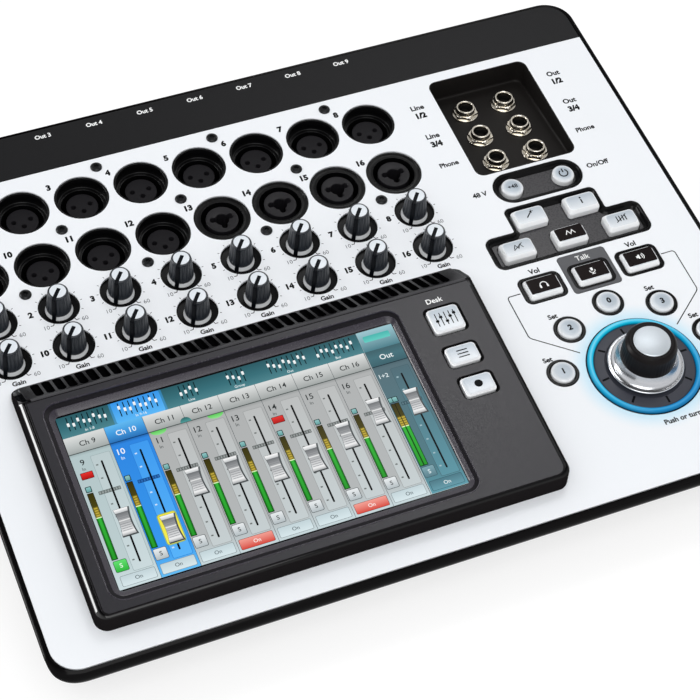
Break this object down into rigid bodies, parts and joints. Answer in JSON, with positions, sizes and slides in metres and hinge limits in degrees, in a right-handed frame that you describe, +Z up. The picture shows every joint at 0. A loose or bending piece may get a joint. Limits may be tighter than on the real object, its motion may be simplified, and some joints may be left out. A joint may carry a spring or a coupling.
{
  "type": "digital mixing console",
  "caption": "Sloping desk mixing console with a touch screen, input sockets, gain knobs, lit push buttons and one large control dial.",
  "frame": {"origin": "centre of the footprint on the desk", "axes": "+X to the right, +Y to the back, +Z up"},
  "size_m": [0.36, 0.2824, 0.0817],
  "materials": {
    "black_case": "fine satin moulded plastic",
    "silver_overlay": "satin silver paint",
    "black_steel": "black powder coat",
    "rubber": "matt rubber",
    "black_screw": "black oxide",
    "grey_housing": "dark grey satin plastic",
    "screen_glass": "clear touch glass",
    "display_metal": "plain metal back",
    "socket_black": "black moulded plastic",
    "socket_insert": "dark grey moulded plastic",
    "port_metal": "plated shell",
    "nickel": "bright nickel",
    "pot_metal": "plated",
    "board_green": "solder mask",
    "bezel_black": "gloss black",
    "switch_black": "black",
    "glow_ring": "lit blue light guide",
    "shaft_metal": "turned",
    "chrome_skirt": "polished",
    "key_white": "translucent white",
    "knob_black": "soft black with silver cap"
  },
  "bodies": {
    "console": {"upper_case": "black_case", "silver_panel": "silver_overlay", "lower_case": "black_case", "rear_panel": "black_steel", "rubber_feet": "rubber", "case_screws": "black_screw", "display_housing": "grey_housing", "display_glass": "screen_glass", "lcd_module": "display_metal", "xlr_shells": "socket_black", "xlr_inserts": "socket_insert", "combo_sockets": "socket_black", "rear_xlr_sockets": "socket_black", "rear_ports": "port_metal", "phone_jacks": "nickel", "jack_nuts": "nickel", "gain_pots": "pot_metal", "circuit_boards": "board_green", "button_bezels": "bezel_black", "tact_switches": "switch_black", "encoder_light_ring": "glow_ring", "encoder_dial": "bezel_black", "encoder_body": "pot_metal"},
    "home_button": {"home_button": "key_white"},
    "menu_button": {"menu_button": "key_white"},
    "record_button": {"record_button": "key_white"},
    "phantom_button": {"phantom_button": "key_white"},
    "standby_button": {"standby_button": "key_white"},
    "assist_button": {"assist_button": "key_white"},
    "info_button": {"info_button": "key_white"},
    "effect_mute_button": {"effect_mute_button": "key_white"},
    "effect_select_button": {"effect_select_button": "key_white"},
    "mute_group_button": {"mute_group_button": "key_white"},
    "phones_button": {"phones_button": "key_white"},
    "talk_button": {"talk_button": "key_white"},
    "monitor_button": {"monitor_button": "key_white"},
    "reset_button": {"reset_button": "key_white"},
    "user_button_1": {"user_button_1": "key_white"},
    "user_button_2": {"user_button_2": "key_white"},
    "user_button_3": {"user_button_3": "key_white"},
    "user_button_4": {"user_button_4": "key_white"},
    "gain_knob_01": {"gain_knob_01": "knob_black"},
    "gain_knob_02": {"gain_knob_02": "knob_black"},
    "gain_knob_03": {"gain_knob_03": "knob_black"},
    "gain_knob_04": {"gain_knob_04": "knob_black"},
    "gain_knob_05": {"gain_knob_05": "knob_black"},
    "gain_knob_06": {"gain_knob_06": "knob_black"},
    "gain_knob_07": {"gain_knob_07": "knob_black"},
    "gain_knob_08": {"gain_knob_08": "knob_black"},
    "gain_knob_09": {"gain_knob_09": "knob_black"},
    "gain_knob_10": {"gain_knob_10": "knob_black"},
    "gain_knob_11": {"gain_knob_11": "knob_black"},
    "gain_knob_12": {"gain_knob_12": "knob_black"},
    "gain_knob_13": {"gain_knob_13": "knob_black"},
    "gain_knob_14": {"gain_knob_14": "knob_black"},
    "gain_knob_15": {"gain_knob_15": "knob_black"},
    "gain_knob_16": {"gain_knob_16": "knob_black"},
    "dial_push": {"encoder_shaft": "shaft_metal"},
    "dial_knob": {"encoder_skirt": "chrome_skirt", "encoder_grip": "rubber"}
  },
  "joints": [
    {"name": "gain_knob_01_turn", "type": "hinge", "parent": "console", "child": "gain_knob_01", "pos_m": [-0.15103, 0.03506, 0.06821], "axis": [0, 0.1736, -0.9848], "range_deg": [0, 300]},
    {"name": "gain_knob_02_turn", "type": "hinge", "parent": "console", "child": "gain_knob_02", "pos_m": [-0.12193, 0.03506, 0.06821], "axis": [0, 0.1736, -0.9848], "range_deg": [0, 300]},
    {"name": "gain_knob_03_turn", "type": "hinge", "parent": "console", "child": "gain_knob_03", "pos_m": [-0.09283, 0.03506, 0.06821], "axis": [0, 0.1736, -0.9848], "range_deg": [0, 300]},
    {"name": "gain_knob_04_turn", "type": "hinge", "parent": "console", "child": "gain_knob_04", "pos_m": [-0.06373, 0.03506, 0.06821], "axis": [0, 0.1736, -0.9848], "range_deg": [0, 300]},
    {"name": "gain_knob_05_turn", "type": "hinge", "parent": "console", "child": "gain_knob_05", "pos_m": [-0.03463, 0.03506, 0.06821], "axis": [0, 0.1736, -0.9848], "range_deg": [0, 300]},
    {"name": "gain_knob_06_turn", "type": "hinge", "parent": "console", "child": "gain_knob_06", "pos_m": [-0.00553, 0.03506, 0.06821], "axis": [0, 0.1736, -0.9848], "range_deg": [0, 300]},
    {"name": "gain_knob_07_turn", "type": "hinge", "parent": "console", "child": "gain_knob_07", "pos_m": [0.02357, 0.03506, 0.06821], "axis": [0, 0.1736, -0.9848], "range_deg": [0, 300]},
    {"name": "gain_knob_08_turn", "type": "hinge", "parent": "console", "child": "gain_knob_08", "pos_m": [0.05267, 0.03506, 0.06821], "axis": [0, 0.1736, -0.9848], "range_deg": [0, 300]},
    {"name": "gain_knob_09_turn", "type": "hinge", "parent": "console", "child": "gain_knob_09", "pos_m": [-0.15103, 0.013, 0.06432], "axis": [0, 0.1736, -0.9848], "range_deg": [0, 300]},
    {"name": "gain_knob_10_turn", "type": "hinge", "parent": "console", "child": "gain_knob_10", "pos_m": [-0.12193, 0.013, 0.06432], "axis": [0, 0.1736, -0.9848], "range_deg": [0, 300]},
    {"name": "gain_knob_11_turn", "type": "hinge", "parent": "console", "child": "gain_knob_11", "pos_m": [-0.09283, 0.013, 0.06432], "axis": [0, 0.1736, -0.9848], "range_deg": [0, 300]},
    {"name": "gain_knob_12_turn", "type": "hinge", "parent": "console", "child": "gain_knob_12", "pos_m": [-0.06373, 0.013, 0.06432], "axis": [0, 0.1736, -0.9848], "range_deg": [0, 300]},
    {"name": "gain_knob_13_turn", "type": "hinge", "parent": "console", "child": "gain_knob_13", "pos_m": [-0.03463, 0.013, 0.06432], "axis": [0, 0.1736, -0.9848], "range_deg": [0, 300]},
    {"name": "gain_knob_14_turn", "type": "hinge", "parent": "console", "child": "gain_knob_14", "pos_m": [-0.00553, 0.013, 0.06432], "axis": [0, 0.1736, -0.9848], "range_deg": [0, 300]},
    {"name": "gain_knob_15_turn", "type": "hinge", "parent": "console", "child": "gain_knob_15", "pos_m": [0.02357, 0.013, 0.06432], "axis": [0, 0.1736, -0.9848], "range_deg": [0, 300]},
    {"name": "gain_knob_16_turn", "type": "hinge", "parent": "console", "child": "gain_knob_16", "pos_m": [0.05267, 0.013, 0.06432], "axis": [0, 0.1736, -0.9848], "range_deg": [0, 300]},
    {"name": "home_button_press", "type": "slide", "parent": "console", "child": "home_button", "axis": [0, 0.1959, -0.9806], "range_m": [0, 0.0008], "stiffness_N_per_m": 700},
    {"name": "menu_button_press", "type": "slide", "parent": "console", "child": "menu_button", "axis": [0, 0.1959, -0.9806], "range_m": [0, 0.0008], "stiffness_N_per_m": 700},
    {"name": "record_button_press", "type": "slide", "parent": "console", "child": "record_button", "axis": [0, 0.1959, -0.9806], "range_m": [0, 0.0008], "stiffness_N_per_m": 700},
    {"name": "phantom_button_press", "type": "slide", "parent": "console", "child": "phantom_button", "axis": [0, 0.1736, -0.9848], "range_m": [0, 0.0012], "stiffness_N_per_m": 700},
    {"name": "standby_button_press", "type": "slide", "parent": "console", "child": "standby_button", "axis": [0, 0.1736, -0.9848], "range_m": [0, 0.0012], "stiffness_N_per_m": 700},
    {"name": "assist_button_press", "type": "slide", "parent": "console", "child": "assist_button", "axis": [0, 0.1736, -0.9848], "range_m": [0, 0.0012], "stiffness_N_per_m": 700},
    {"name": "info_button_press", "type": "slide", "parent": "console", "child": "info_button", "axis": [0, 0.1736, -0.9848], "range_m": [0, 0.0012], "stiffness_N_per_m": 700},
    {"name": "effect_mute_button_press", "type": "slide", "parent": "console", "child": "effect_mute_button", "axis": [0, 0.1736, -0.9848], "range_m": [0, 0.0012], "stiffness_N_per_m": 700},
    {"name": "effect_select_button_press", "type": "slide", "parent": "console", "child": "effect_select_button", "axis": [0, 0.1736, -0.9848], "range_m": [0, 0.0012], "stiffness_N_per_m": 700},
    {"name": "mute_group_button_press", "type": "slide", "parent": "console", "child": "mute_group_button", "axis": [0, 0.1736, -0.9848], "range_m": [0, 0.0012], "stiffness_N_per_m": 700},
    {"name": "phones_button_press", "type": "slide", "parent": "console", "child": "phones_button", "axis": [0, 0.1736, -0.9848], "range_m": [0, 0.0012], "stiffness_N_per_m": 700},
    {"name": "talk_button_press", "type": "slide", "parent": "console", "child": "talk_button", "axis": [0, 0.1736, -0.9848], "range_m": [0, 0.0012], "stiffness_N_per_m": 700},
    {"name": "monitor_button_press", "type": "slide", "parent": "console", "child": "monitor_button", "axis": [0, 0.1736, -0.9848], "range_m": [0, 0.0012], "stiffness_N_per_m": 700},
    {"name": "reset_button_press", "type": "slide", "parent": "console", "child": "reset_button", "axis": [0, 0.1736, -0.9848], "range_m": [0, 0.0012], "stiffness_N_per_m": 700},
    {"name": "user_button_1_press", "type": "slide", "parent": "console", "child": "user_button_1", "axis": [0, 0.1736, -0.9848], "range_m": [0, 0.0012], "stiffness_N_per_m": 700},
    {"name": "user_button_2_press", "type": "slide", "parent": "console", "child": "user_button_2", "axis": [0, 0.1736, -0.9848], "range_m": [0, 0.0012], "stiffness_N_per_m": 700},
    {"name": "user_button_3_press", "type": "slide", "parent": "console", "child": "user_button_3", "axis": [0, 0.1736, -0.9848], "range_m": [0, 0.0012], "stiffness_N_per_m": 700},
    {"name": "user_button_4_press", "type": "slide", "parent": "console", "child": "user_button_4", "axis": [0, 0.1736, -0.9848], "range_m": [0, 0.0012], "stiffness_N_per_m": 700},
    {"name": "dial_press", "type": "slide", "parent": "console", "child": "dial_push", "axis": [0, 0.1736, -0.9848], "range_m": [0, 0.0006], "stiffness_N_per_m": 3000},
    {"name": "dial_spin", "type": "hinge", "parent": "dial_push", "child": "dial_knob", "pos_m": [0.11657, -0.08132, 0.05277], "axis": [0, 0.1736, -0.9848], "continuous": true}
  ]
}
